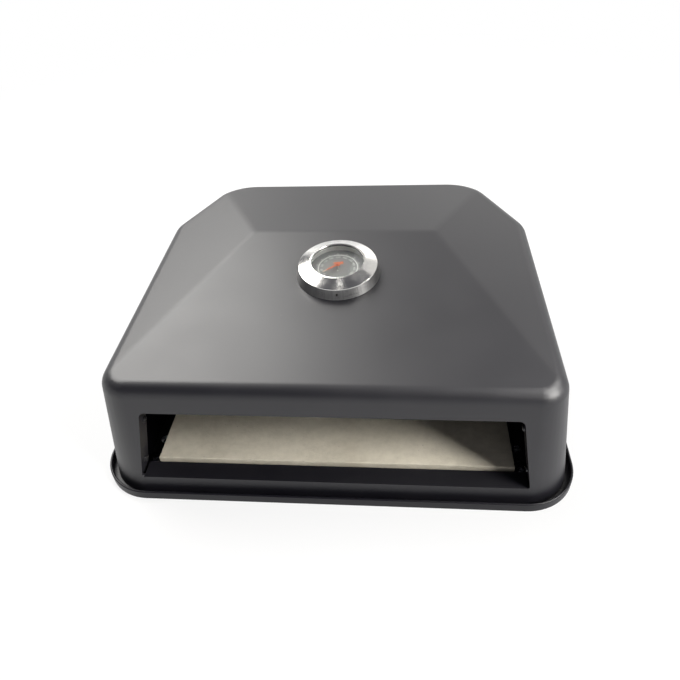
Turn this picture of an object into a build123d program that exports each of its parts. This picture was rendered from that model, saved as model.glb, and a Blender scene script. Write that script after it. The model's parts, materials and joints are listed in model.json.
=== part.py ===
from build123d import *
import math
import os

# Overall sizes in millimetres. X runs across the mouth, the mouth faces -Y, and Z is up
# from the surface that the pan stands on. The origin is under the middle of the pan.
pan_width = 400.0
pan_depth = 358.0
pan_height = 8.3
crease_height = 129.1
crease_half = 87.1

# Plan outline of the pan's rim: a rectangle with round front corners and cut rear corners
cut_width = 56.7
cut_length = 96.0
front_corner = 43.9
side_cut_corner = 47.7
rear_cut_corner = 69.6

# Base pan
pan_sheet = 1.0
hem_width = 2.2
hem_height = 2.8
floor_height = 4.0
floor_margin = 10.5
floor_bend = 1.5
inlet_width = 220.0
inlet_depth = 200.0
inlet_corner = 24.0
inlet_lip = 4.0

# Hood
hood_gap = 5.7
hood_sheet = 1.2
draft = 8.0
crease_back = 214.6
front_eave = 107.9
hip_half = 143.0
hip_back = 320.4
hip_height = 125.1
eave_radius = 13.0
crease_radius = 55.0

# Mouth in the hood's front wall
mouth_bottom = 18.3
mouth_top = 85.0
mouth_bottom_half = 158.2
mouth_top_half = 146.8
mouth_top_corner = 5.0
mouth_bottom_corner = 1.6
flange_depth = 16.5
relief_radius = 1.5

# Pizza stone and the rails under it
stone_width = 298.0
stone_depth = 285.0
stone_thickness = 10.0
stone_edge = 1.2
stone_corner = 3.0
stone_back = 21.5
stone_seat = 11.0
rail_sheet = 1.2
rail_ledge = 14.0
rail_foot = 15.0
rail_foot_start = 18.0
rail_overlap = 4.5
rail_ear = 5.0
rail_ear_length = 16.0
ear_from_front = 64.0
ear_from_rear = 40.0
ear_round = 2.4
side_play = 1.0
body_gap = 0.3

# Brackets that tie hood and pan together
bracket_sheet = 1.2
jamb_leg_top = 77.0
jamb_leg_start = 3.5
foot_width = 14.0
jamb_foot_end = 37.0
jamb_foot_inset = 1.7
rear_bracket_x = 92.0
rear_bracket_width = 18.0
rear_leg_top = 34.0
rear_foot_length = 17.0
rear_screw_height = 24.0

# Fasteners
floor_screw = 4.0
floor_head = 7.4
floor_head_height = 2.4
floor_nut = 7.0
floor_nut_height = 2.2
jamb_screw = 3.0
jamb_head = 5.8
jamb_head_height = 1.9
jamb_nut = 5.5
jamb_nut_height = 2.4
screw_clearance = 0.25
screw_tail = 0.8
thread_play = 0.02
hole_tool = 25.0
jamb_screw_heights = [28.1, 69.5]
jamb_screw_inset = 10.5
foot_screw_back = 29.0
rail_screw_inset = 14.0
rear_foot_screw = 9.0

# Recess and edge of a screw head, as shares of its width and its height
recess_length = 0.5
recess_width = 0.16
recess_depth = 0.5
edge_drop = 0.35
edge_run = 0.6

# Thermometer, measured along its own axis from the hood's top face
gauge_back = 152.5
gasket_radius = 34.0
gasket_thickness = 1.0
bezel_radius = 37.6
bezel_shoulder = 36.0
bezel_shoulder_height = 10.4
bezel_lip_height = 14.0
bezel_lip_width = 1.5
bezel_foot = 0.4
bezel_round = 1.2
bezel_sheet = 0.8
window_radius = 23.1
cup_radius = 24.9
cup_wall = 1.0
case_sheet = 1.0
case_radius = 36.4
ledge_width = 1.3
dial_height = 4.4
dial_thickness = 0.6
lens_thickness = 1.6
lens_edge = 0.3
seal_thickness = 0.6
pointer_height = 8.4
pointer_length = 16.4
pointer_tail = 5.5
pointer_thickness = 0.4
pointer_half = 1.1
pointer_tail_half = 0.9
pointer_tip_half = 0.35
pointer_tip = 1.0
pointer_angle = 219.0
hub_radius = 2.3
hub_step_radius = 1.4
hub_step = 1.2
shaft_radius = 0.6
shaft_play = 0.05
boss_radius = 5.0
boss_length = 15.0
boss_flange_radius = 8.0
boss_flange = 1.4
probe_radius = 3.0
probe_wall = 0.4
probe_length = 32.0
probe_top = -3.0
probe_end = 0.6
coil_radius = 2.3
coil_pitch = 2.4
coil_turns = 6
coil_strip = 0.9
coil_thickness = 0.3
washer_radius = 9.5
washer_thickness = 1.2
clamp_nut_width = 15.0
clamp_nut_height = 5.0
vent_radius = 0.9
vent_angle = 2.5

# Values that follow from the sizes above
slope = math.tan(math.radians(draft))
pan_front = -pan_depth / 2
hood_front = pan_front + hood_gap
hood_rear = pan_depth / 2 - hood_gap
floor_top = floor_height + pan_sheet
stone_front = hood_front + stone_back
stone_rear = stone_front + stone_depth
stone_middle = (stone_front + stone_rear) / 2
rail_x = stone_width / 2 - rail_overlap
rail_rear = stone_rear + 2 * side_play + rail_sheet
foot_screw_x = stone_width / 2 + rail_foot / 2
foot_seat = floor_top + rail_sheet
flare = (mouth_bottom_half - mouth_top_half) / (mouth_top - mouth_bottom)
flare_angle = math.degrees(math.atan(flare))
floor_hole = floor_screw / 2 + screw_clearance
jamb_hole = jamb_screw / 2 + screw_clearance

os.makedirs("parts", exist_ok=True)


def save(name, shape):
    shape.label = name
    export_step(shape, f"parts/{name}.step")


def outline(inset):
    # Plan outline of the pan's rim, moved inward by the inset on every side
    half = pan_width / 2
    rear = pan_depth / 2
    corners = [
        (-half, -rear),
        (half, -rear),
        (half, rear - cut_length),
        (half - cut_width, rear),
        (cut_width - half, rear),
        (-half, rear - cut_length),
    ]
    face = make_face(Polyline(*corners, close=True))
    front = face.vertices().filter_by(lambda v: v.Y < -rear + 1)
    face = fillet(front, front_corner)
    sides = face.vertices().filter_by(lambda v: abs(v.Y - rear + cut_length) < 0.01)
    face = fillet(sides, side_cut_corner)
    backs = face.vertices().filter_by(lambda v: abs(v.Y - rear) < 0.01)
    face = fillet(backs, rear_cut_corner)
    if inset == 0:
        return face
    return offset(face, amount=-inset)


def plate(inset, bottom, top):
    return Pos(0, 0, bottom) * extrude(outline(inset), amount=top - bottom)


def tube(radius, bore, bottom, top):
    ring = Circle(radius) - Circle(bore) if bore else Circle(radius)
    return Pos(0, 0, bottom) * extrude(ring, amount=top - bottom)


def joined(solids):
    # Separate solids of one kind of fastener, kept apart in one node
    return Compound(children=list(solids))


# Base pan: a hemmed rim, a gutter for the hood's foot and a raised floor with the heat inlet
def base_pan():
    tray = plate(0, 0, pan_height)
    tray -= plate(pan_sheet, pan_sheet, pan_height)
    hem = plate(0, pan_height - hem_height, pan_height) - plate(hem_width, 0, pan_height)
    tray += hem
    top_edges = tray.edges().filter_by(lambda e: abs(e.bounding_box().min.Z - pan_height) < 0.01)
    tray = chamfer(top_edges, hem_width / 3)
    floor = plate(floor_margin, 0, floor_top)
    crown = floor.faces().sort_by(Axis.Z)[-1]
    floor = chamfer(crown.edges(), floor_bend)
    hollow = plate(floor_margin + pan_sheet, 0, floor_height)
    pan = tray + floor - hollow
    lip = RectangleRounded(inlet_width + 2 * pan_sheet, inlet_depth + 2 * pan_sheet, inlet_corner + pan_sheet)
    hole = RectangleRounded(inlet_width, inlet_depth, inlet_corner)
    pan += Pos(0, stone_middle, floor_height) * extrude(lip, amount=pan_sheet + inlet_lip)
    pan -= Pos(0, stone_middle, 0) * extrude(hole, amount=pan_height + inlet_lip)
    for x, y in floor_screw_places():
        pan -= Pos(x, y, 0) * Cylinder(floor_hole, hole_tool)
    return pan


# Pizza stone: a fired slab with round upright corners and chamfered rims
def pizza_stone():
    slab = Box(stone_width, stone_depth, stone_thickness, align=(Align.CENTER, Align.CENTER, Align.MIN))
    slab = Pos(0, stone_middle, stone_seat) * slab
    slab = fillet(slab.edges().filter_by(Axis.Z), stone_corner)
    level = slab.faces().filter_by(Axis.Z)
    return chamfer(level.edges(), stone_edge)


# Right-hand rail: foot on the floor, web, ledge under the stone, two side ears and a rear stop
def stone_rail():
    seat = stone_seat - body_gap
    foot_edge = stone_width / 2 + rail_foot
    profile = Polyline(
        (foot_edge, floor_top),
        (rail_x, floor_top),
        (rail_x, seat - rail_sheet),
        (rail_x - rail_ledge, seat - rail_sheet),
        (rail_x - rail_ledge, seat),
        (rail_x + rail_sheet, seat),
        (rail_x + rail_sheet, foot_seat),
        (foot_edge, foot_seat),
        close=True,
    )
    section = make_face(Plane.XZ * profile)
    rail = Pos(0, stone_front, 0) * extrude(section, amount=rail_rear - stone_front, dir=(0, 1, 0))
    clear_box = Box(rail_foot + rail_overlap, rail_foot_start, stone_thickness, align=Align.MIN)
    rail -= Pos(rail_x + rail_sheet, stone_front, floor_top - 1) * clear_box
    ear_top = stone_seat + rail_ear
    for y in (stone_front + ear_from_front, stone_rear - ear_from_rear):
        seated = (Align.MIN, Align.CENTER, Align.MIN)
        ear = Box(rail_sheet, rail_ear_length, ear_top - floor_top, align=seated)
        ear = fillet(ear.edges().filter_by(Axis.X).group_by(Axis.Z)[-1], ear_round)
        rail += Pos(stone_width / 2 + side_play, y, floor_top) * ear
    stop_height = ear_top - seat + rail_sheet
    stop = Box(rail_ledge, rail_sheet, stop_height, align=(Align.MIN, Align.MAX, Align.MIN))
    stop = fillet(stop.edges().filter_by(Axis.Y).group_by(Axis.Z)[-1], ear_round)
    rail += Pos(rail_x - rail_ledge, rail_rear, seat - rail_sheet) * stop
    rail &= plate(floor_margin + floor_bend, 0, mouth_bottom)
    for x, y in rail_screw_places():
        rail -= Pos(x, y, floor_top) * Cylinder(floor_hole, hole_tool)
    return rail


def rail_screw_places():
    front = stone_front + rail_foot_start + rail_screw_inset
    return [(foot_screw_x, front), (foot_screw_x, stone_rear - rail_screw_inset)]


def jamb_foot_place():
    return (mouth_bottom_half - jamb_foot_inset, hood_front + foot_screw_back)


def rear_foot_place():
    return (rear_bracket_x, rear_wall_inside(foot_seat) - rear_foot_screw)


def floor_screw_places():
    right = [jamb_foot_place(), *rail_screw_places(), rear_foot_place()]
    return right + [(-x, y) for x, y in right]


# Hood: walls leaning in at the draft under a hipped top of four faces
def plane_through(a, b, c):
    first = Vector(*a)
    along = Vector(*b) - first
    normal = along.cross(Vector(*c) - first)
    if normal.Z < 0:
        normal = normal * -1
    return Plane(origin=first, x_dir=along, z_dir=normal)


def roof_planes():
    crease_y = hood_front + crease_back
    hip_y = hood_front + hip_back
    front_y = hood_front + front_eave * slope
    corner_x = pan_width / 2 - hood_gap - front_eave * slope
    left = (-crease_half, crease_y, crease_height)
    right = (crease_half, crease_y, crease_height)
    front = plane_through(left, right, (0, front_y, front_eave))
    rear = plane_through(left, right, (0, hip_y, hip_height))
    sides = [
        plane_through(
            (side * crease_half, crease_y, crease_height),
            (side * corner_x, front_y, front_eave),
            (side * hip_half, hip_y, hip_height),
        )
        for side in (-1, 1)
    ]
    return [front, rear, *sides]


def roof_edges(body):
    # Edges between two top faces are creases; those between a top face and a wall are eaves
    seen = {}
    for face in body.faces().filter_by(lambda f: f.normal_at().Z > 0.9):
        for edge in face.edges():
            middle = edge.position_at(0.5)
            place = (round(middle.X, 2), round(middle.Y, 2), round(middle.Z, 2))
            seen.setdefault(place, []).append(edge)
    creases = [edges[0] for edges in seen.values() if len(edges) > 1]
    eaves = [edges[0] for edges in seen.values() if len(edges) == 1]
    return creases, eaves


def dome(inset):
    # The hood's body, with walls and top moved inward by the inset
    wall_inset = inset / math.cos(math.radians(draft))
    body = extrude(outline(hood_gap + wall_inset), amount=crease_height + 20, taper=draft)
    for roof in roof_planes():
        body = split(body, bisect_by=roof.offset(-inset), keep=Keep.BOTTOM)
    creases, eaves = roof_edges(body)
    body = fillet(creases, crease_radius - inset)
    creases, eaves = roof_edges(body)
    return fillet(eaves, eave_radius - inset)


def mouth_prism(grow):
    side = grow / math.cos(math.radians(flare_angle))
    bottom = mouth_bottom - grow
    top = mouth_top + grow
    low = mouth_bottom_half + grow * flare + side
    high = mouth_top_half - grow * flare + side
    shape = make_face(Polyline((-low, bottom), (low, bottom), (high, top), (-high, top), close=True))
    corners = shape.vertices().group_by(Axis.Y)
    shape = fillet(corners[-1], mouth_top_corner + grow)
    corners = shape.vertices().group_by(Axis.Y)
    shape = fillet(corners[0], mouth_bottom_corner + grow)
    return Pos(0, hood_front - 1, 0) * extrude(Plane.XZ * shape, amount=3 * flange_depth, dir=(0, 1, 0))


def front_band(start, end):
    # Slab behind the front wall, leaning as the wall does
    lean = crease_height * slope
    profile = Polyline(
        (start, 0),
        (end, 0),
        (end + lean, crease_height),
        (start + lean, crease_height),
        close=True,
    )
    section = make_face(Plane.YZ * profile)
    return Pos(-pan_width / 2, hood_front, 0) * extrude(section, amount=pan_width, dir=(1, 0, 0))


def hood_shell():
    outer = dome(0)
    mouth = mouth_prism(0)
    flange = (mouth_prism(hood_sheet) - mouth) & outer & front_band(-1, flange_depth)
    shell = outer - dome(hood_sheet) - mouth + flange
    foot_cut = Box(2 * pan_width, 2 * pan_depth, 2 * pan_sheet)
    shell -= foot_cut
    for side in (-1, 1):
        corner = Pos(side * mouth_bottom_half, 0, mouth_bottom)
        relief = corner * Rot(90, 0, 0) * Cylinder(relief_radius, pan_depth)
        shell -= relief & front_band(2 * relief_radius, 2 * flange_depth)
    for place in jamb_screw_places():
        hole = place * Cylinder(jamb_hole, hole_tool)
        shell -= hole
        shell -= mirror(hole, about=Plane.YZ)
    for place in rear_screw_places():
        hole = place * Cylinder(floor_hole, hole_tool)
        shell -= hole
        shell -= mirror(hole, about=Plane.YZ)
    shell -= gauge_plane() * Cylinder(boss_radius + screw_clearance, hole_tool)
    return shell


# Brackets: uprights behind the mouth's side flanges, and angles at the back wall
def jamb_x(height):
    return mouth_bottom_half - (height - mouth_bottom) * flare


def jamb_screw_places():
    places = []
    for height in jamb_screw_heights:
        origin = (jamb_x(height), hood_front + height * slope + jamb_screw_inset, height)
        towards_mouth = (-1, 0, -flare)
        places.append(Plane(origin=origin, x_dir=(0, 1, 0), z_dir=towards_mouth))
    return places


def jamb_bracket():
    behind = hood_sheet / math.cos(math.radians(flare_angle))
    thick = bracket_sheet / math.cos(math.radians(flare_angle))
    leg = Polyline(
        (jamb_x(floor_top) + behind, floor_top),
        (jamb_x(floor_top) + behind + thick, floor_top),
        (jamb_x(jamb_leg_top) + behind + thick, jamb_leg_top),
        (jamb_x(jamb_leg_top) + behind, jamb_leg_top),
        close=True,
    )
    leg = Pos(0, hood_front, 0) * extrude(make_face(Plane.XZ * leg), amount=3 * flange_depth, dir=(0, 1, 0))
    leg &= front_band(jamb_leg_start, flange_depth)
    foot_start = jamb_leg_start + floor_top * slope
    x, y = jamb_foot_place()
    inner = x - foot_width / 2
    outer = jamb_x(floor_top) + behind + thick
    foot = Box(outer - inner, jamb_foot_end - foot_start, bracket_sheet, align=Align.MIN)
    foot = fillet(foot.edges().filter_by(Axis.Z).group_by(Axis.Y)[-1], 3 * bracket_sheet)
    bracket = leg + Pos(inner, hood_front + foot_start, floor_top) * foot
    bracket -= Pos(x, y, floor_top) * Cylinder(floor_hole, hole_tool)
    for place in jamb_screw_places():
        bracket -= place * Cylinder(jamb_hole, hole_tool)
    return bracket


def rear_wall_inside(height):
    return hood_rear - height * slope - hood_sheet / math.cos(math.radians(draft))


def rear_screw_places():
    origin = (rear_bracket_x, hood_rear - rear_screw_height * slope, rear_screw_height)
    return [Plane(origin=origin, x_dir=(1, 0, 0), z_dir=(0, 1, slope))]


def rear_bracket():
    thick = bracket_sheet / math.cos(math.radians(draft))
    low = rear_wall_inside(floor_top)
    high = rear_wall_inside(rear_leg_top)
    profile = Polyline(
        (low, floor_top),
        (high, rear_leg_top),
        (high - thick, rear_leg_top),
        (rear_wall_inside(foot_seat) - thick, foot_seat),
        (low - rear_foot_length, foot_seat),
        (low - rear_foot_length, floor_top),
        close=True,
    )
    section = make_face(Plane.YZ * profile)
    start = rear_bracket_x - rear_bracket_width / 2
    bracket = Pos(start, 0, 0) * extrude(section, amount=rear_bracket_width, dir=(1, 0, 0))
    x, y = rear_foot_place()
    bracket -= Pos(x, y, floor_top) * Cylinder(floor_hole, hole_tool)
    for place in rear_screw_places():
        bracket -= place * Cylinder(floor_hole, hole_tool)
    return bracket


# Fasteners, modelled with the seat of the head at Z = 0
def screw(diameter, head, head_height, length):
    on_seat = (Align.CENTER, Align.CENTER, Align.MIN)
    top = Cylinder(head / 2, head_height, align=on_seat)
    top = chamfer(top.edges().group_by(Axis.Z)[-1], edge_drop * head_height, edge_run * head_height)
    slot = Box(recess_length * head, recess_width * head, head_height, align=on_seat)
    top -= Pos(0, 0, (1 - recess_depth) * head_height) * (slot + Rot(0, 0, 90) * slot)
    shank = Cylinder(diameter / 2, length, align=(Align.CENTER, Align.CENTER, Align.MAX))
    return top + shank


def nut(width, height, bore):
    blank = RegularPolygon(width / 2, 6, major_radius=False) - Circle(bore / 2)
    return Pos(0, 0, -height) * extrude(blank, amount=height)


def both_sides(solids):
    return joined([*solids, *[mirror(solid, about=Plane.YZ) for solid in solids]])


def floor_screws():
    length = rail_sheet + pan_sheet + floor_nut_height + screw_tail
    body = screw(floor_screw, floor_head, floor_head_height, length)
    return joined([Pos(x, y, foot_seat) * body for x, y in floor_screw_places()])


def floor_nuts():
    body = nut(floor_nut, floor_nut_height, floor_screw)
    return joined([Pos(x, y, floor_height) * body for x, y in floor_screw_places()])


def jamb_screws():
    length = hood_sheet + bracket_sheet + jamb_nut_height + screw_tail
    body = screw(jamb_screw, jamb_head, jamb_head_height, length)
    return both_sides([place * body for place in jamb_screw_places()])


def jamb_nuts():
    body = Pos(0, 0, -hood_sheet - bracket_sheet) * nut(jamb_nut, jamb_nut_height, jamb_screw)
    return both_sides([place * body for place in jamb_screw_places()])


def wall_screws():
    length = hood_sheet + bracket_sheet + floor_nut_height + screw_tail
    body = screw(floor_screw, floor_head, floor_head_height, length)
    return both_sides([place * body for place in rear_screw_places()])


def wall_nuts():
    body = Pos(0, 0, -hood_sheet - bracket_sheet) * nut(floor_nut, floor_nut_height, floor_screw)
    return both_sides([place * body for place in rear_screw_places()])


# Thermometer: turned pieces on one axis, square to the hood's front top face
def gauge_plane():
    front = roof_planes()[0]
    fall = front.z_dir.Y / front.z_dir.Z
    y = hood_front + gauge_back
    z = crease_height - (y - hood_front - crease_back) * fall
    return Plane(origin=(0, y, z), x_dir=(1, 0, 0), z_dir=front.z_dir)


def turned(*points):
    return revolve(make_face(Plane.XZ * Polyline(*points, close=True)), Axis.Z)


lens_top = bezel_lip_height - bezel_sheet
lens_seat = lens_top - lens_thickness
cup_top = lens_seat - seal_thickness
plate_top = gasket_thickness + case_sheet
shaft_bore = shaft_radius + shaft_play
boss_foot = -boss_length


def gauge_gasket():
    return tube(gasket_radius, boss_radius + screw_clearance, 0, gasket_thickness)


def gauge_case():
    cup_outer = cup_radius + cup_wall
    ledge = cup_radius - ledge_width
    neck = boss_radius + shaft_play
    return turned(
        (neck, gasket_thickness),
        (case_radius, gasket_thickness),
        (case_radius, plate_top),
        (cup_outer, plate_top),
        (cup_outer, cup_top),
        (cup_radius, cup_top),
        (cup_radius, dial_height),
        (ledge, dial_height),
        (ledge, plate_top),
        (neck, plate_top),
    )


def bezel_ring():
    lip = window_radius + bezel_lip_width
    profile = Polyline(
        (window_radius, lens_top),
        (window_radius, bezel_lip_height),
        (lip, bezel_lip_height),
        (bezel_shoulder, bezel_shoulder_height),
        (bezel_radius, bezel_foot),
        (bezel_radius - bezel_sheet, bezel_foot),
        (bezel_shoulder - bezel_sheet, bezel_shoulder_height - bezel_sheet),
        (cup_radius + cup_wall, lens_top),
        close=True,
    )
    section = make_face(profile)
    shoulder = section.vertices().filter_by(lambda v: abs(v.X - bezel_shoulder) < 0.01)
    section = fillet(shoulder, bezel_round)
    ring = revolve(Plane.XZ * section, Axis.Z)
    vent_height = bezel_shoulder_height / 2
    vent = Pos(0, -bezel_radius, vent_height) * Rot(90, 0, 0) * Cylinder(vent_radius, 6 * bezel_sheet)
    return ring - Rot(0, 0, vent_angle) * vent


def lens_seal():
    return tube(cup_radius + cup_wall, window_radius + body_gap, cup_top, lens_seat)


def lens():
    disc = tube(cup_radius + cup_wall - body_gap, 0, lens_seat, lens_top)
    return chamfer(disc.edges(), lens_edge)


def dial_plate():
    return tube(cup_radius - shaft_play, 2 * shaft_radius, dial_height, dial_height + dial_thickness)


def pointer():
    blade = make_face(
        Polyline(
            (-pointer_tail, -pointer_tail_half),
            (-pointer_tail, pointer_tail_half),
            (0, pointer_half),
            (pointer_length - pointer_tip, pointer_tip_half),
            (pointer_length, 0),
            (pointer_length - pointer_tip, -pointer_tip_half),
            (0, -pointer_half),
            close=True,
        )
    )
    shape = extrude(blade + Circle(hub_radius), amount=pointer_thickness)
    shape += tube(hub_step_radius, 0, 0, hub_step)
    return Pos(0, 0, pointer_height) * Rot(0, 0, pointer_angle) * shape


def pointer_shaft():
    return tube(shaft_radius, 0, probe_radius - probe_length, pointer_height)


def mounting_boss():
    sleeve = probe_radius + thread_play
    return turned(
        (shaft_bore, plate_top + boss_flange),
        (boss_flange_radius, plate_top + boss_flange),
        (boss_flange_radius, plate_top),
        (boss_radius, plate_top),
        (boss_radius, boss_foot),
        (sleeve, boss_foot),
        (sleeve, probe_top),
        (shaft_bore, probe_top),
    )


def probe_tube():
    inside = probe_radius - probe_wall
    return turned(
        (inside, probe_top),
        (probe_radius, probe_top),
        (probe_radius, probe_radius / 2 - probe_length),
        (probe_radius / 2, -probe_length),
        (0, -probe_length),
        (0, probe_end - probe_length),
        (probe_radius / 2 - probe_wall, probe_end - probe_length),
        (inside, probe_radius / 2 + probe_wall - probe_length),
    )


def bimetal_coil():
    height = coil_turns * coil_pitch
    path = Helix(pitch=coil_pitch, height=height, radius=coil_radius)
    strip = Plane(origin=path @ 0, z_dir=path % 0) * Rectangle(coil_strip, coil_thickness)
    coil = sweep(strip, path=path, is_frenet=True)
    return Pos(0, 0, probe_radius - probe_length + coil_strip) * coil


def clamp_washer():
    bore = boss_radius + screw_clearance
    return tube(washer_radius, bore, -hood_sheet - washer_thickness, -hood_sheet)


def clamp_nut():
    body = nut(clamp_nut_width, clamp_nut_height, 2 * (boss_radius + thread_play))
    return Pos(0, 0, -hood_sheet - washer_thickness) * body


gauge = gauge_plane()

save("base_pan", base_pan())
save("hood_shell", hood_shell())
save("pizza_stone", pizza_stone())
save("stone_rail_right", stone_rail())
save("stone_rail_left", mirror(stone_rail(), about=Plane.YZ))
save("jamb_bracket_right", jamb_bracket())
save("jamb_bracket_left", mirror(jamb_bracket(), about=Plane.YZ))
save("rear_bracket_right", rear_bracket())
save("rear_bracket_left", mirror(rear_bracket(), about=Plane.YZ))
save("floor_screws", floor_screws())
save("floor_nuts", floor_nuts())
save("jamb_screws", jamb_screws())
save("jamb_nuts", jamb_nuts())
save("wall_screws", wall_screws())
save("wall_nuts", wall_nuts())

gauge_pieces = [
    gauge_gasket,
    gauge_case,
    bezel_ring,
    lens_seal,
    lens,
    dial_plate,
    pointer,
    pointer_shaft,
    mounting_boss,
    probe_tube,
    bimetal_coil,
    clamp_washer,
    clamp_nut,
]
for piece in gauge_pieces:
    save(piece.__name__, gauge * piece())
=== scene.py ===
import json
import math

import bpy
import bmesh
from mathutils import Matrix, Vector


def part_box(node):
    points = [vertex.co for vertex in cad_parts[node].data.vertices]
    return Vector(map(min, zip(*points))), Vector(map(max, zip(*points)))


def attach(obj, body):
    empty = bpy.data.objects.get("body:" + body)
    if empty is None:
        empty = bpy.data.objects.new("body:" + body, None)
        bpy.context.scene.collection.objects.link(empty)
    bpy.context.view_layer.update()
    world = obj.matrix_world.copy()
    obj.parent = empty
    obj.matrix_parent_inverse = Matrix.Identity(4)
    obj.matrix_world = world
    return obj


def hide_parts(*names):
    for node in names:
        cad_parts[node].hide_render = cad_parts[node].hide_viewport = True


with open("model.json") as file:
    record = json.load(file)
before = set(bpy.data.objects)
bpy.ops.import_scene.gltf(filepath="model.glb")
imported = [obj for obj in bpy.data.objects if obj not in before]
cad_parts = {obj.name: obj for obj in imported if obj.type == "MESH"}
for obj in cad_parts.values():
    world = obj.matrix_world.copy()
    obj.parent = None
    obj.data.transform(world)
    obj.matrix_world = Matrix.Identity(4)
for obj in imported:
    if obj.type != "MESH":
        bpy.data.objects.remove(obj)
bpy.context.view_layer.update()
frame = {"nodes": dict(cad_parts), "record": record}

scene = bpy.context.scene
nodes = frame["nodes"]
print("frame loaded:", len(nodes), "nodes")


# Helpers for working on one piece at a time
def clearSelection():
    if bpy.context.object and bpy.context.object.mode != "OBJECT":
        bpy.ops.object.mode_set(mode="OBJECT")
    bpy.ops.object.select_all(action="DESELECT")


def pick(piece):
    clearSelection()
    piece.select_set(True)
    bpy.context.view_layer.objects.active = piece
    return piece


def placeIn(piece, matrix):
    # Sets a finished piece down at its place, then puts that place into its mesh
    pick(piece)
    piece.matrix_world = matrix
    bpy.ops.object.transform_apply(location=True, rotation=True, scale=True)


def useModifier(piece, kind, **settings):
    pick(piece)
    modifier = piece.modifiers.new(kind.title(), kind)
    for name, setting in settings.items():
        setattr(modifier, name, setting)
    bpy.ops.object.modifier_apply(modifier=modifier.name)


def smoothFaces(piece, degrees):
    pick(piece)
    bpy.ops.object.shade_smooth_by_angle(angle=math.radians(degrees))


def evenShading(piece, weight):
    # Large faces keep their own normals, so that only the edges between them shade round
    useModifier(piece, "WEIGHTED_NORMAL", mode="FACE_AREA", weight=weight, keep_sharp=True)


def settle(piece, name, node, body):
    # Names a finished piece, hides its node and puts the piece under the node's body in its place
    piece.name = name
    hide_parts(node)
    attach(piece, body)
    return piece


# Shader sums: a signal is one output socket, and sums on signals add Math nodes
class Signal:
    def __init__(self, tree, socket=None):
        self.tree = tree
        self.socket = socket

    def node(self, kind, links=None, output=0, **settings):
        made = self.tree.nodes.new("ShaderNode" + kind)
        for name, setting in settings.items():
            setattr(made, name, setting)
        for name, value in (links or {}).items():
            if isinstance(value, Signal):
                self.tree.links.new(value.socket, made.inputs[name])
            else:
                made.inputs[name].default_value = value
        return Signal(self.tree, made.outputs[output])

    def maths(self, operation, first, second=0.0):
        return self.node("Math", {0: first, 1: second}, operation=operation)

    def __add__(self, other):
        return self.maths("ADD", self, other)

    def __sub__(self, other):
        return self.maths("SUBTRACT", self, other)

    def __rsub__(self, other):
        return self.maths("SUBTRACT", other, self)

    def __mul__(self, other):
        return self.maths("MULTIPLY", self, other)

    def __truediv__(self, other):
        return self.maths("DIVIDE", self, other)

    def __gt__(self, other):
        return self.maths("GREATER_THAN", self, other)

    def __lt__(self, other):
        return self.maths("LESS_THAN", self, other)

    __radd__ = __add__
    __rmul__ = __mul__

    def ramp(self, low, high):
        # 0 below low, 1 above high and smooth between
        links = {0: self, 1: low, 2: high}
        return self.node("MapRange", links, interpolation_type="SMOOTHSTEP")

    def band(self, middle, half, soft):
        # 1 within the half width of the middle, and falling to 0 over the soft edge
        away = self.maths("ABSOLUTE", self - middle)
        return 1 - away.ramp(half, half + soft)


def newFinish(name):
    finish = bpy.data.materials.new(name)
    finish.use_nodes = True
    tree = finish.node_tree
    tree.nodes.clear()
    body = tree.nodes.new("ShaderNodeBsdfPrincipled")
    end = tree.nodes.new("ShaderNodeOutputMaterial")
    tree.links.new(body.outputs[0], end.inputs[0])
    return finish, Signal(tree), body


def dress(body, **sockets):
    # Base_Color=..., Roughness=...: a plain value is set on the socket, a signal is linked to it
    for name, value in sockets.items():
        socket = body.inputs[name.replace("_", " ")]
        if isinstance(value, Signal):
            value.tree.links.new(value.socket, socket)
        else:
            socket.default_value = value


def mixColours(signal, mask, first, second):
    links = {0: mask, 6: first, 7: second}
    return signal.node("Mix", links, output=2, data_type="RGBA")


def objectPoint(signal):
    return signal.node("TexCoord", output=3)


def noise(signal, point, size, detail=3.0, roughness=0.55):
    # size is the width of one blotch, in metres
    links = {"Vector": point, "Scale": 1 / size, "Detail": detail, "Roughness": roughness}
    return signal.node("TexNoise", links)


def bump(signal, height, depth, strength=1.0):
    links = {"Height": height, "Distance": depth, "Strength": strength}
    return signal.node("Bump", links)


def grey(level):
    return (level, level, level, 1.0)


# The thermometer's own axis, read from the needle's joint
joints = {joint["name"]: joint for joint in frame["record"]["behaviour"]["joints"]}
needleJoint = joints["needle_turn"]
gaugeCentre = Vector(needleJoint["pos_m"])
gaugeTilt = math.atan2(-needleJoint["axis"][1], needleJoint["axis"][2])
gaugePlace = Matrix.Translation(gaugeCentre) @ Matrix.Rotation(gaugeTilt, 4, "X")


def gaugePoint(signal):
    # Object coordinates turned and moved so that the thermometer's axis is Z
    moved = Matrix.Rotation(-gaugeTilt, 4, "X") @ -gaugeCentre
    links = {"Vector": objectPoint(signal), "Location": moved, "Rotation": (-gaugeTilt, 0, 0)}
    return signal.node("Mapping", links)


def polar(signal):
    # Distance from the thermometer's axis, angle in radians and height
    point = gaugePoint(signal)
    x, y, z = [signal.node("SeparateXYZ", {0: point}, output=place) for place in range(3)]
    radius = signal.maths("SQRT", x * x + y * y)
    angle = signal.maths("ARCTAN2", y, x)
    return radius, angle, z


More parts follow.
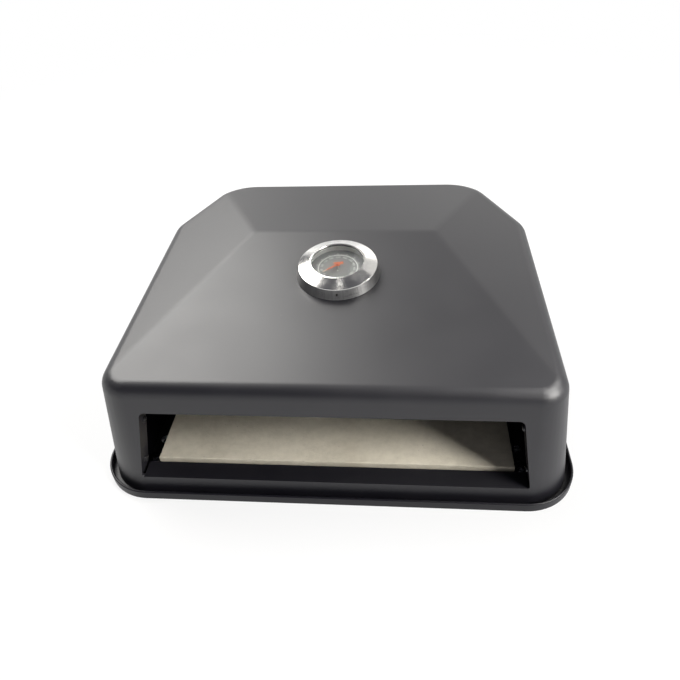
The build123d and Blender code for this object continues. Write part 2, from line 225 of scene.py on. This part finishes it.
# Finishes: their colours, their gloss and, in metres, the widths and depths of their details
coating = {
    "colour": (0.0045, 0.0042, 0.0075, 1),
    "faded": (0.0085, 0.0080, 0.0115, 1),
    "dust": (0.33, 0.32, 0.30, 1),
    "bracket": (0.010, 0.009, 0.012, 1),
    "bracketFaded": (0.02, 0.019, 0.021, 1),
    "roughness": 0.43,
    "bracketRoughness": 0.55,
    "panRoughness": 0.4,
    "panGloss": 0.22,
    "index": 1.6,
    "cloud": 0.06,
    "grain": 0.0007,
    "peel": 0.0035,
    "speckCell": 0.011,
    "relief": 0.00006,
}


def blackCoating(name, colour, faded, roughness, gloss=0.5):
    finish, signal, body = newFinish(name)
    point = objectPoint(signal)
    cloud = noise(signal, point, coating["cloud"]).ramp(0.35, 0.7)
    grain = noise(signal, point, coating["grain"], detail=2.0)
    orangePeel = noise(signal, point, coating["peel"], detail=1.0)
    speckLinks = {"Vector": point, "Scale": 1 / coating["speckCell"], "Randomness": 1.0}
    distance = signal.node("TexVoronoi", speckLinks)
    pale = signal.node("TexVoronoi", speckLinks, output=1)
    chance = signal.node("SeparateColor", {0: pale})
    speck = (chance > 0.93) * (1 - distance.ramp(0.012, 0.03))
    paint = mixColours(signal, cloud * 0.6, colour, faded)
    paint = mixColours(signal, speck * 0.55, paint, coating["dust"])
    relief = grain * 0.7 + orangePeel * 0.6
    dress(
        body,
        Base_Color=paint,
        Roughness=roughness + 0.02 * cloud + 0.06 * (grain - 0.5) + 0.25 * speck,
        Normal=bump(signal, relief, coating["relief"], 0.5),
        IOR=coating["index"],
        Specular_IOR_Level=gloss,
    )
    return finish


stoneFinish = {
    "light": (0.70, 0.645, 0.53, 1),
    "dark": (0.52, 0.475, 0.38, 1),
    "grit": (0.40, 0.35, 0.29, 1),
    "scorch": (0.45, 0.37, 0.27, 1),
    "cloud": 0.045,
    "mottle": 0.007,
    "grain": 0.0009,
    "pitCell": 0.0042,
    "pitPatch": 0.02,
    "scorchPatch": 0.08,
    "relief": 0.00035,
}


def cordieriteStone():
    finish, signal, body = newFinish("cordieriteStone")
    point = objectPoint(signal)
    cloud = noise(signal, point, stoneFinish["cloud"], detail=5.0).ramp(0.3, 0.72)
    mottle = noise(signal, point, stoneFinish["mottle"], detail=6.0, roughness=0.65).ramp(0.35, 0.7)
    grain = noise(signal, point, stoneFinish["grain"], detail=2.0)
    pitLinks = {"Vector": point, "Scale": 1 / stoneFinish["pitCell"]}
    pit = 1 - signal.node("TexVoronoi", pitLinks).ramp(0.05, 0.16)
    pitHere = pit * noise(signal, point, stoneFinish["pitPatch"]).ramp(0.5, 0.62)
    clay = mixColours(signal, cloud * 0.55 + mottle * 0.35, stoneFinish["light"], stoneFinish["dark"])
    clay = mixColours(signal, pitHere * 0.8, clay, stoneFinish["grit"])
    scorched = noise(signal, point, stoneFinish["scorchPatch"], detail=3.0).ramp(0.58, 0.75)
    clay = mixColours(signal, scorched * 0.35, clay, stoneFinish["scorch"])
    relief = grain * 0.5 + mottle * 0.6 - pitHere * 1.6
    dress(
        body,
        Base_Color=clay,
        Roughness=0.86 + 0.1 * (grain - 0.5),
        Normal=bump(signal, relief, stoneFinish["relief"], 0.7),
    )
    return finish


plating = {
    "zinc": (0.74, 0.75, 0.77, 1),
    "blackened": (0.10, 0.10, 0.105, 1),
    "brass": (0.72, 0.55, 0.26, 1),
    "stain": 0.006,
    "scratch": 0.0016,
    "relief": 0.00002,
}


def platedSteel(name, colour, roughness):
    # Plated or plain metal, with faint stains and fine scratches
    finish, signal, body = newFinish(name)
    point = objectPoint(signal)
    stain = noise(signal, point, plating["stain"], detail=4.0).ramp(0.3, 0.75)
    links = {"Vector": point, "Scale": (1.0, 9.0, 1.0)}
    stretched = signal.node("Mapping", links)
    scratch = noise(signal, stretched, plating["scratch"], detail=2.0)
    darker = tuple(0.72 * part for part in colour[:3]) + (1.0,)
    dress(
        body,
        Base_Color=mixColours(signal, stain * 0.7, colour, darker),
        Metallic=1.0,
        Roughness=roughness + 0.12 * stain + 0.08 * (scratch - 0.5),
        Normal=bump(signal, scratch, plating["relief"], 0.5),
    )
    return finish


ringFinish = {
    "bright": (0.78, 0.77, 0.745, 1),
    "dull": (0.52, 0.51, 0.50, 1),
    # side is painted shade: a dark grey that stands for the shade on the bezel's side wall
    "side": (0.20, 0.20, 0.205, 1),
    "sideTop": 0.0094,
    "roughness": 0.15,
    "caseRoughness": 0.38,
    "groove": 0.00028,
    "line": 0.0009,
    "smear": 0.012,
    "relief": 0.00001,
}


def turnedSteel(name, roughness, upright, metallic=1.0, side=0.0):
    # Steel turned on a lathe, with fine rings round the axis and, by the share given as upright,
    # fine upright lines; side is the share of painted shade below sideTop: a darker colour, with brushed
    # lines and a rougher finish
    finish, signal, body = newFinish(name)
    radius, angle, height = polar(signal)
    ringsAt = signal.node("CombineXYZ", {0: radius, 1: angle * 0.0006, 2: height})
    rings = noise(signal, ringsAt, ringFinish["groove"], detail=3.0)
    linesAt = signal.node("CombineXYZ", {0: angle * 0.02, 1: height * 0.02})
    lines = noise(signal, linesAt, ringFinish["line"], detail=3.0)
    smear = noise(signal, objectPoint(signal), ringFinish["smear"], detail=4.0).ramp(0.4, 0.75)
    cut = mixColours(signal, smear * 0.5 + 0.5 * (rings - 0.3), ringFinish["bright"], ringFinish["dull"])
    cut = mixColours(signal, lines.ramp(0.62, 0.75) * upright, cut, ringFinish["bright"])
    # Painted shade on the side wall below sideTop, with brushed lines and a rougher finish
    brushedSideShade = (height < ringFinish["sideTop"]) * side
    cut = mixColours(signal, brushedSideShade * (0.75 + 0.6 * (lines - 0.5)), cut, ringFinish["side"])
    dress(
        body,
        Base_Color=cut,
        Metallic=metallic,
        Roughness=roughness + 0.16 * (rings - 0.5) + 0.1 * smear + 0.14 * brushedSideShade,
        Normal=bump(signal, rings + lines * upright, ringFinish["relief"], 0.6),
    )
    return finish


# Radii in metres. The scale's start and the warm zone are in degrees from +X, and the sweep and
# the steps of the ticks are in degrees along the scale
dialLook = {
    "plate": (0.29, 0.29, 0.285, 1),
    # A darker grey: painted shade at the plate's rim, also mixed in at random as grain
    "plateRimShadeAndGrain": (0.23, 0.23, 0.23, 1),
    "print": (0.92, 0.92, 0.90, 1),
    "warm": (0.80, 0.24, 0.10, 1),
    "ring": 0.0173,
    "ringHalf": 0.00042,
    "tickFrom": 0.0178,
    "tickTo": 0.0190,
    "majorTo": 0.0199,
    "start": 219.0,
    "sweep": 250.0,
    "minor": 5.0,
    "major": 25.0,
    "zoneRadius": 0.0068,
    "zoneHalf": 0.0011,
    "zoneFrom": 52.0,
    "zoneTo": 128.0,
    "dotBelow": 0.0042,
    "dotRadius": 0.0006,
    "grain": 0.0006,
}


def printedDial():
    # Grey plate, darker towards its rim as painted shade under the bezel's cup, with a white ring, ticks
    # round the scale and a warm band; the numbers are separate
    finish, signal, body = newFinish("printedDial")
    radius, angle = polar(signal)[:2]
    degree = math.pi / 180
    along = (dialLook["start"] * degree - angle) / degree
    along = signal.maths("FLOORED_MODULO", along + 20.0, 360.0) - 20.0
    onScale = (along > -0.6) * (along < dialLook["sweep"] + 0.6)
    ring = radius.band(dialLook["ring"], dialLook["ringHalf"], 0.00005) * onScale

    def ticks(step, half, reach):
        nearest = signal.maths("ABSOLUTE", signal.maths("PINGPONG", along, step / 2))
        line = 1 - nearest.ramp(half, half + 0.15)
        return line * (radius > dialLook["tickFrom"]) * (radius < reach) * onScale

    minor = ticks(dialLook["minor"], 0.5, dialLook["tickTo"])
    major = ticks(dialLook["major"], 1.0, dialLook["majorTo"])
    centre = signal.node("CombineXYZ", {1: -dialLook["dotBelow"]})
    fromDot = signal.node("VectorMath", {0: gaugePoint(signal), 1: centre}, operation="SUBTRACT")
    flat = signal.node("VectorMath", {0: fromDot, 1: (1, 1, 0)}, operation="MULTIPLY")
    dot = signal.node("VectorMath", {0: flat}, output=1, operation="LENGTH") < dialLook["dotRadius"]
    marks = signal.maths("MAXIMUM", signal.maths("MAXIMUM", ring, minor), major)
    marks = signal.maths("MAXIMUM", marks, dot)
    fullTurn = signal.maths("FLOORED_MODULO", angle / degree, 360.0)
    zone = (fullTurn > dialLook["zoneFrom"]) * (fullTurn < dialLook["zoneTo"])
    zone = zone * radius.band(dialLook["zoneRadius"], dialLook["zoneHalf"], 0.0001)
    grain = noise(signal, objectPoint(signal), dialLook["grain"])
    # Painted shade: the plate darkens towards its rim, under the bezel's cup
    plate = mixColours(signal, radius.ramp(0.008, 0.024), dialLook["plate"], dialLook["plateRimShadeAndGrain"])
    plate = mixColours(signal, (grain - 0.4) * 0.25, plate, dialLook["plateRimShadeAndGrain"])
    plate = mixColours(signal, zone, plate, dialLook["warm"])
    plate = mixColours(signal, marks, plate, dialLook["print"])
    dress(body, Base_Color=plate, Roughness=0.5 + 0.1 * grain - 0.12 * marks)
    return finish


def numberInk():
    finish, signal, body = newFinish("numberInk")
    grain = noise(signal, objectPoint(signal), 0.0004)
    ink = mixColours(signal, grain.ramp(0.45, 0.7) * 0.4, dialLook["print"], grey(0.55))
    dress(body, Base_Color=ink, Roughness=0.5 + 0.1 * grain)
    return finish


pointerLook = {
    "red": (0.74, 0.19, 0.09, 1),
    "deepRed": (0.62, 0.13, 0.06, 1),
    "tip": (0.85, 0.68, 0.58, 1),
    "tipFrom": 0.0105,
    "tipTo": 0.0135,
    "grain": 0.0009,
}


def pointerPaint():
    finish, signal, body = newFinish("pointerPaint")
    radius = polar(signal)[0]
    grain = noise(signal, objectPoint(signal), pointerLook["grain"])
    red = mixColours(signal, grain * 0.5, pointerLook["red"], pointerLook["deepRed"])
    toTip = radius.ramp(pointerLook["tipFrom"], pointerLook["tipTo"])
    paint = mixColours(signal, toTip, red, pointerLook["tip"])
    dress(body, Base_Color=paint, Roughness=0.38 + 0.12 * grain)
    return finish


windowLook = {"tint": (0.97, 0.985, 0.98, 1), "haze": 0.01, "index": 1.5, "shine": 0.2}


def windowGlass():
    finish, signal, body = newFinish("windowGlass")
    haze = noise(signal, objectPoint(signal), windowLook["haze"], detail=4.0).ramp(0.5, 0.8)
    dress(
        body,
        Base_Color=windowLook["tint"],
        Roughness=0.02 + 0.05 * haze,
        IOR=windowLook["index"],
        Transmission_Weight=1.0,
        Specular_IOR_Level=windowLook["shine"],
    )
    return finish


gasketLook = {"dark": (0.016, 0.016, 0.016, 1), "light": (0.045, 0.043, 0.04, 1), "fibre": 0.0012}


def darkGasket():
    finish, signal, body = newFinish("darkGasket")
    fibre = noise(signal, objectPoint(signal), gasketLook["fibre"], detail=4.0)
    shade = mixColours(signal, fibre, gasketLook["dark"], gasketLook["light"])
    dress(body, Base_Color=shade, Roughness=0.8 + 0.1 * fibre, Normal=bump(signal, fibre, 0.0001))
    return finish


hoodColours = (coating["colour"], coating["faded"])
bracketColours = (coating["bracket"], coating["bracketFaded"])
finishes = {
    "black_coating": blackCoating("hoodCoating", *hoodColours, coating["roughness"]),
    "bracket_coating": blackCoating("bracketCoating", *bracketColours, coating["bracketRoughness"]),
    "cordierite_stone": cordieriteStone(),
    "zinc_steel": platedSteel("zincPlate", plating["zinc"], 0.26),
    "black_screw": platedSteel("blackenedScrew", plating["blackened"], 0.34),
    "heat_gasket": darkGasket(),
    "case_steel": turnedSteel("caseSteel", ringFinish["caseRoughness"], 0.8, metallic=0.3),
    # The bezel's side wall gets painted shade
    "polished_steel": turnedSteel("polishedRingShadedSide", ringFinish["roughness"], 0.0, side=1.0),
    "window_glass": windowGlass(),
    "dial_print": printedDial(),
    "pointer_red": pointerPaint(),
    "brass": platedSteel("brassParts", plating["brass"], 0.28),
}
panCoating = blackCoating("panCoating", *hoodColours, coating["panRoughness"], coating["panGloss"])
for part in frame["record"]["subparts"]:
    shown = nodes[part["node"]]
    for place in range(max(1, len(shown.material_slots))):
        if not shown.material_slots:
            shown.data.materials.append(None)
        shown.material_slots[place].material = finishes[part["material_slot"]]
print("finishes made:", len(finishes))


# Pressed sheet: merged, smooth copies of nodes whose shape is right, with a narrow bevel on edges
copies = {
    "hood_shell": {"name": "pressedHood", "body": "oven", "slot": "black_coating", "edge": 0.0003},
    "base_pan": {"name": "hemmedPan", "body": "oven", "slot": "black_coating", "edge": 0.0002},
    "gauge_case": {"name": "gaugeCup", "body": "oven", "slot": "case_steel", "edge": 0.00015},
}


sheetSmoothing = {"merge": 0.000004, "flat": 0.3, "sharp": 40, "smooth": 35, "weight": 60}


def smoothCopy(node, name, body, slot, edge):
    source = nodes[node]
    piece = bpy.data.objects.new(name, source.data.copy())
    scene.collection.objects.link(piece)
    pick(piece)
    if piece.data.has_custom_normals:
        bpy.ops.mesh.customdata_custom_splitnormals_clear()
    bpy.ops.object.mode_set(mode="EDIT")
    bpy.ops.mesh.select_all(action="SELECT")
    bpy.ops.mesh.remove_doubles(threshold=sheetSmoothing["merge"])
    bpy.ops.mesh.dissolve_limited(angle_limit=math.radians(sheetSmoothing["flat"]))
    bpy.ops.object.mode_set(mode="OBJECT")
    limits = {"limit_method": "ANGLE", "angle_limit": math.radians(sheetSmoothing["sharp"])}
    useModifier(piece, "BEVEL", width=edge, segments=2, use_clamp_overlap=True, **limits)
    smoothFaces(piece, sheetSmoothing["smooth"])
    if node == "base_pan":
        piece.data.materials[0] = panCoating
    evenShading(piece, sheetSmoothing["weight"])
    return settle(piece, name, node, body)


for node, made in copies.items():
    smoothCopy(node, **made)
print("pressed sheet smoothed")


# Pizza stone: a slab with rounded corners and slightly worn rims
slab = {"corner": 0.003, "cornerSteps": 4, "rim": 0.0009, "rimSteps": 2, "smooth": 30}


def wornStone():
    low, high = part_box("pizza_stone")
    bpy.ops.mesh.primitive_cube_add(size=1.0, location=(low + high) / 2)
    piece = bpy.context.object
    piece.scale = high - low
    bpy.ops.object.transform_apply(location=True, rotation=True, scale=True)
    bpy.ops.object.mode_set(mode="EDIT")
    bpy.ops.mesh.select_all(action="DESELECT")
    mesh = bmesh.from_edit_mesh(piece.data)
    for edge in mesh.edges:
        edge.select = edge.verts[0].co.z != edge.verts[1].co.z
    bmesh.update_edit_mesh(piece.data)
    bpy.ops.mesh.bevel(offset=slab["corner"], segments=slab["cornerSteps"], affect="EDGES")
    bpy.ops.mesh.select_all(action="DESELECT")
    mesh = bmesh.from_edit_mesh(piece.data)
    for face in mesh.faces:
        face.select = abs(face.normal.z) > 0.9
    bmesh.update_edit_mesh(piece.data)
    bpy.ops.mesh.region_to_loop()
    bpy.ops.mesh.bevel(offset=slab["rim"], segments=slab["rimSteps"], affect="EDGES")
    bpy.ops.object.mode_set(mode="OBJECT")
    smoothFaces(piece, slab["smooth"])
    piece.data.materials.clear()
    piece.data.materials.append(finishes["cordierite_stone"])
    return settle(piece, "firedStone", "pizza_stone", "stone")


wornStone()
print("stone made")


# Bezel: a turned ring, its profile as radius and height above the hood in metres, angles in degrees
bezel = {
    "segments": 192,
    "smooth": 28,
    "weight": 60,
    "profile": [
        (0.0231, 0.0132),
        (0.0231, 0.0137),
        (0.0233, 0.0140),
        (0.0243, 0.0140),
        (0.0247, 0.0138),
        (0.0342, 0.0101),
        (0.0348, 0.0098),
        (0.0351, 0.0092),
        (0.0372, 0.0010),
        (0.0374, 0.0005),
        (0.0372, 0.0004),
        (0.0368, 0.0005),
        (0.0343, 0.0088),
        (0.0259, 0.0131),
    ],
    "ventFrom": 0.0372,
    "ventDepth": 0.006,
    "ventFacets": 32,
    "ventRadius": 0.0009,
    "ventHeight": 0.0052,
    "ventAngle": 2.5,
}


def turnedRing(name, profile, segments):
    # The first circle is extruded and resized along the profile, and a bridge closes its two ends
    clearSelection()
    radius, height = profile[0]
    bpy.ops.mesh.primitive_circle_add(vertices=segments, radius=radius, location=(0, 0, height))
    piece = bpy.context.object
    bpy.ops.object.transform_apply(location=True)
    bpy.ops.object.mode_set(mode="EDIT")
    bpy.ops.mesh.select_all(action="SELECT")
    for nextRadius, nextHeight in profile[1:]:
        rise = (0, 0, nextHeight - height)
        bpy.ops.mesh.extrude_edges_move(TRANSFORM_OT_translate={"value": rise})
        grow = nextRadius / radius
        bpy.ops.transform.resize(value=(grow, grow, 1), center_override=(0, 0, 0))
        radius, height = nextRadius, nextHeight
    bpy.ops.mesh.select_all(action="DESELECT")
    bpy.ops.mesh.select_mode(type="EDGE")
    bpy.ops.mesh.select_non_manifold(extend=False)
    bpy.ops.mesh.bridge_edge_loops()
    bpy.ops.mesh.select_all(action="SELECT")
    bpy.ops.mesh.normals_make_consistent(inside=False)
    bpy.ops.object.mode_set(mode="OBJECT")
    piece.name = name
    return piece


def bezelPiece():
    piece = turnedRing("steelBezel", bezel["profile"], bezel["segments"])
    turn = math.radians(bezel["ventAngle"] - 90)
    away = bezel["ventFrom"]
    clearSelection()
    bpy.ops.mesh.primitive_cylinder_add(
        vertices=bezel["ventFacets"],
        radius=bezel["ventRadius"],
        depth=bezel["ventDepth"],
        location=(away * math.cos(turn), away * math.sin(turn), bezel["ventHeight"]),
    )
    drill = bpy.context.object
    drill.rotation_euler = (math.pi / 2, 0, turn + math.pi / 2)
    useModifier(piece, "BOOLEAN", operation="DIFFERENCE", object=drill, solver="EXACT")
    bpy.data.objects.remove(drill)
    smoothFaces(piece, bezel["smooth"])
    evenShading(piece, bezel["weight"])
    piece.data.materials.append(finishes["polished_steel"])
    placeIn(piece, gaugePlace)
    return settle(piece, "steelBezel", "bezel_ring", "oven")


bezelPiece()
print("bezel turned")


# Numbers on the dial: the values of the scale, and their sizes and places in metres
numbers = {
    "first": 0,
    "last": 500,
    "step": 50,
    "size": 0.0030,
    "radius": 0.0145,
    "height": 0.00502,
    "thickness": 0.00003,
}


def dialNumbers():
    ink = numberInk()
    count = (numbers["last"] - numbers["first"]) // numbers["step"]
    pieces = []
    for place in range(count + 1):
        turn = math.radians(dialLook["start"] - place * dialLook["sweep"] / count)
        clearSelection()
        bpy.ops.object.text_add()
        label = bpy.context.object
        label.data.body = str(numbers["first"] + place * numbers["step"])
        label.data.size = numbers["size"]
        label.data.align_x = "CENTER"
        label.data.align_y = "CENTER"
        label.data.extrude = numbers["thickness"]
        bpy.ops.object.convert(target="MESH")
        label = bpy.context.object
        x = numbers["radius"] * math.cos(turn)
        y = numbers["radius"] * math.sin(turn)
        outwards = Matrix.Rotation(turn - math.pi / 2, 4, "Z")
        placeIn(label, gaugePlace @ Matrix.Translation((x, y, numbers["height"])) @ outwards)
        pieces.append(label)
    clearSelection()
    for label in pieces:
        label.select_set(True)
    bpy.context.view_layer.objects.active = pieces[0]
    bpy.ops.object.join()
    joined = bpy.context.object
    joined.name = "dialNumbers"
    joined.data.materials.clear()
    joined.data.materials.append(ink)
    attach(joined, "oven")
    return joined


dialNumbers()
print("dial numbered")


# Floor, light and camera
studio = {
    "floor": 60.0,
    "floorColour": (0.86, 0.86, 0.86, 1),
    "floorShow": 0.75,
    "fadeFrom": 0.4,
    "fadeTo": 1.3,
    "world": 0.09,
    "worldColour": (0.92, 0.93, 1.08, 1),
    "wallRadius": 8.0,
    "wallHeight": 2.2,
    "aim": (0, 0, 0.08),
}


def studioFloor():
    # Seen straight on, in metal or through glass it glows white, more so away from the oven
    clearSelection()
    bpy.ops.mesh.primitive_plane_add(size=studio["floor"], location=(0, 0, -0.0005))
    floor = bpy.context.object
    floor.name = "studioFloor"
    finish, signal, body = newFinish("paleFloor")
    dress(body, Base_Color=studio["floorColour"], Roughness=0.9, Specular_IOR_Level=0.1)
    seen = signal.node("LightPath", output=0)
    gloss = signal.node("LightPath", output=3)
    through = signal.node("LightPath", output=6)
    point = objectPoint(signal)
    distance = signal.node("VectorMath", {0: point}, output=1, operation="LENGTH")
    fade = distance.ramp(studio["fadeFrom"], studio["fadeTo"])
    shown = studio["floorShow"] + fade * (1 - studio["floorShow"])
    share = (seen + gloss + through) * shown
    glow = signal.node("Emission", {0: (1, 1, 1, 1), 1: 1.0})
    mixed = signal.node("MixShader", {0: share, 1: Signal(signal.tree, body.outputs[0]), 2: glow})
    end = next(node for node in signal.tree.nodes if node.type == "OUTPUT_MATERIAL")
    signal.tree.links.new(mixed.socket, end.inputs[0])
    floor.data.materials.append(finish)
    return finish


def paleBackdrop(finish):
    # A low wall far off, all round, that whitens the view just above the floor's horizon
    clearSelection()
    bpy.ops.mesh.primitive_circle_add(vertices=96, radius=studio["wallRadius"], location=(0, 0, -0.01))
    wall = bpy.context.object
    wall.name = "paleBackdrop"
    bpy.ops.object.mode_set(mode="EDIT")
    bpy.ops.mesh.select_all(action="SELECT")
    rise = (0, 0, studio["wallHeight"])
    bpy.ops.mesh.extrude_edges_move(TRANSFORM_OT_translate={"value": rise})
    bpy.ops.object.mode_set(mode="OBJECT")
    bpy.ops.object.transform_apply(location=True)
    wall.data.materials.append(finish)


lamps = {
    "rearLeftSheen": {"place": (-0.86, 0.78, 1.38), "size": (1.3, 1.1), "watts": 44},
    "rearRightSheen": {"place": (0.85, 1.35, 1.15), "size": (1.9, 1.4), "watts": 6},
    "rearLowSheen": {"place": (0.20, 1.8, 0.8), "size": (2.2, 0.7), "watts": 5},
    "overheadStrip": {"place": (-0.02, -0.15, 1.5), "size": (0.016, 0.7), "watts": 0.3},
    "cornerGlint": {"place": (0.86, -0.07, 1.19), "size": (0.8, 0.36), "watts": 17, "diffuse": False},
    "rightKey": {"place": (1.15, -0.62, 0.86), "size": (0.6, 0.7), "watts": 30},
    "frontFill": {"place": (0.1, -1.1, 0.95), "size": (1.0, 0.7), "watts": 0.6, "gloss": False},
}
lampTint = (1.0, 0.985, 0.95)


def softbox(name, place, size, watts, gloss=True, diffuse=True):
    light = bpy.data.lights.new(name, "AREA")
    light.shape = "RECTANGLE"
    light.size, light.size_y = size
    light.energy = watts
    light.color = lampTint
    lamp = bpy.data.objects.new(name, light)
    scene.collection.objects.link(lamp)
    lamp.location = place
    aim = Vector(studio["aim"]) - Vector(place)
    lamp.rotation_euler = aim.to_track_quat("-Z", "Y").to_euler()
    lamp.visible_glossy = gloss
    lamp.visible_diffuse = diffuse
    return lamp


paleBackdrop(studioFloor())
for name, lamp in lamps.items():
    softbox(name, **lamp)
world = bpy.data.worlds.new("dimStudio")
world.use_nodes = True
scene.world = world
background = world.node_tree.nodes["Background"]
background.inputs[0].default_value = studio["worldColour"]
background.inputs[1].default_value = studio["world"]

# Angles in radians, the lens and its sensor in millimetres, the rest in metres
view = {
    "place": (0.05147, -0.47480, 0.42275),
    "yaw": 0.1183,
    "pitch": 0.6915,
    "roll": -0.0653,
    "lens": 32.27,
    "sensor": 36.0,
    "near": 0.01,
    "far": 200.0,
}


def photoCamera():
    camera = bpy.data.objects.new("photoCamera", bpy.data.cameras.new("photoCamera"))
    scene.collection.objects.link(camera)
    yaw, pitch, roll = view["yaw"], view["pitch"], view["roll"]
    level = Vector((-math.sin(yaw), math.cos(yaw), 0))
    side = Vector((math.cos(yaw), math.sin(yaw), 0))
    up = Vector((0, 0, 1))
    ahead = math.cos(pitch) * level - math.sin(pitch) * up
    above = math.sin(pitch) * level + math.cos(pitch) * up
    right = math.cos(roll) * side + math.sin(roll) * above
    top = math.cos(roll) * above - math.sin(roll) * side
    turn = Matrix((right, top, -ahead)).transposed().to_4x4()
    camera.matrix_world = Matrix.Translation(view["place"]) @ turn
    camera.data.lens = view["lens"]
    camera.data.sensor_width = view["sensor"]
    camera.data.clip_start = view["near"]
    camera.data.clip_end = view["far"]
    scene.camera = camera
    return camera


photoCamera()
scene.view_settings.view_transform = "Standard"
print("studio ready")
